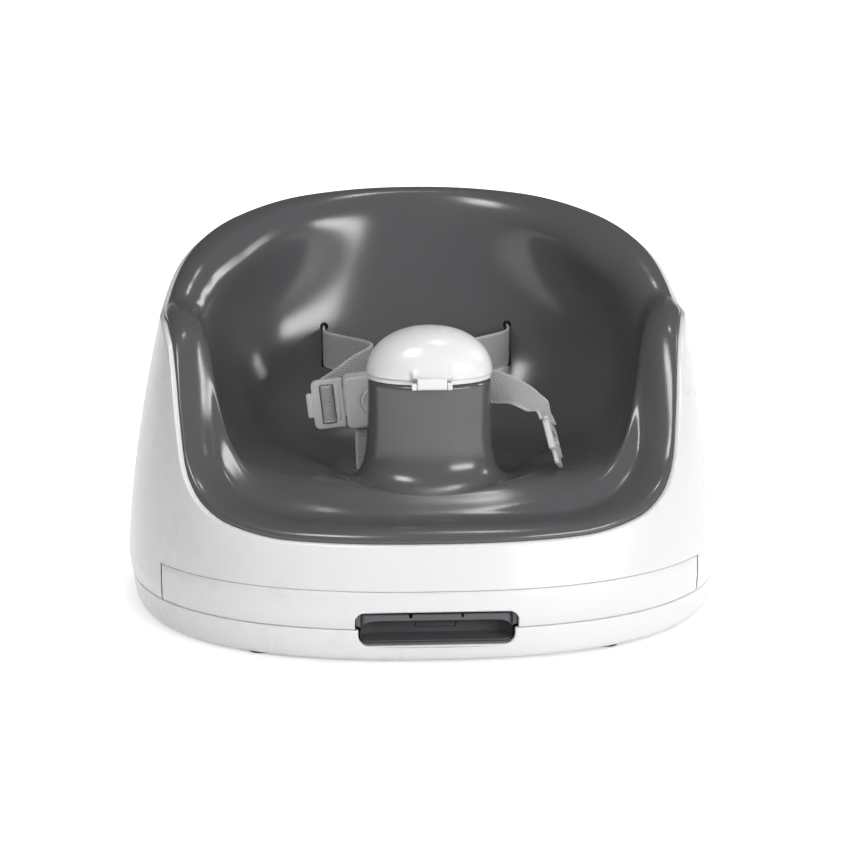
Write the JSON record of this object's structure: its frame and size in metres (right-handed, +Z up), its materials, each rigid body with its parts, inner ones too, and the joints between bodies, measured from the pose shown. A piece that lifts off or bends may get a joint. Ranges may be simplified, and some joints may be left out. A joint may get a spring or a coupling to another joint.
{
  "type": "chair booster seat",
  "caption": "Booster seat that straps to a chair, with a foam insert, pommel, harness and a base that stows a slide-out tray.",
  "frame": {"origin": "on the surface the feet stand on, below the middle of the base", "axes": "+X to the right seen from the front, +Y to the back, +Z up"},
  "size_m": [0.385, 0.3297, 0.2469],
  "materials": {
    "white_plastic": "satin gloss white",
    "white_lid": "gloss white",
    "foam": "satin skin of a moulded soft foam",
    "grey_plastic": "fine matte grain",
    "foot_rubber": "matte",
    "webbing": "woven, matte",
    "buckle_plastic": "satin",
    "inner_plastic": "as moulded",
    "steel": "plated"
  },
  "bodies": {
    "base": {"base_shell": "white_plastic", "base_floor": "white_plastic", "foot_front_left": "foot_rubber", "foot_front_right": "foot_rubber", "foot_rear_left": "foot_rubber", "foot_rear_right": "foot_rubber", "base_screw_1": "steel", "base_screw_2": "steel", "base_screw_3": "steel", "base_screw_4": "steel", "seat_belt_strap_left": "webbing", "seat_belt_strap_right": "webbing", "seat_belt_socket": "grey_plastic", "seat_belt_plug": "grey_plastic", "back_belt_strap_left": "webbing", "back_belt_strap_right": "webbing", "back_belt_socket": "grey_plastic", "back_belt_plug": "grey_plastic"},
    "tray": {"tray_body": "white_plastic", "tray_hub": "grey_plastic", "hub_screw_1": "steel", "hub_screw_2": "steel", "tray_release_spring": "steel"},
    "tray_release": {"tray_release_slider": "grey_plastic"},
    "seat": {"seat_insert": "foam", "pommel_core": "inner_plastic", "tray_plug": "white_plastic", "plug_screw_left": "steel", "plug_screw_right": "steel", "lid_hinge_pin": "steel", "waist_strap_left": "webbing", "waist_strap_right": "webbing", "crotch_strap": "webbing", "strap_anchor_left": "inner_plastic", "strap_anchor_right": "inner_plastic", "crotch_anchor": "inner_plastic", "buckle_front": "buckle_plastic", "buckle_back": "buckle_plastic", "buckle_spring": "steel", "tongue_left": "buckle_plastic", "tongue_right": "buckle_plastic"},
    "lid": {"pommel_lid": "white_lid"},
    "button": {"buckle_button": "buckle_plastic"}
  },
  "joints": [
    {"name": "tray_slide", "type": "slide", "parent": "base", "child": "tray", "axis": [0, -1, 0], "range_m": [0, 0.25]},
    {"name": "tray_release", "type": "slide", "parent": "tray", "child": "tray_release", "axis": [0, -1, 0], "range_m": [0, 0.004], "stiffness_N_per_m": 300, "deforming": ["tray_release_spring"]},
    {"name": "seat_lift", "type": "slide", "parent": "base", "child": "seat", "axis": [0, 0, 1], "range_m": [0, 0.2]},
    {"name": "lid_hinge", "type": "hinge", "parent": "seat", "child": "lid", "pos_m": [0, -0.106, 0.1592], "axis": [1, 0, 0], "range_deg": [0, 110]},
    {"name": "button_press", "type": "slide", "parent": "seat", "child": "button", "axis": [0, 1, 0], "range_m": [0, 0.002], "stiffness_N_per_m": 600, "deforming": ["buckle_spring"]}
  ]
}
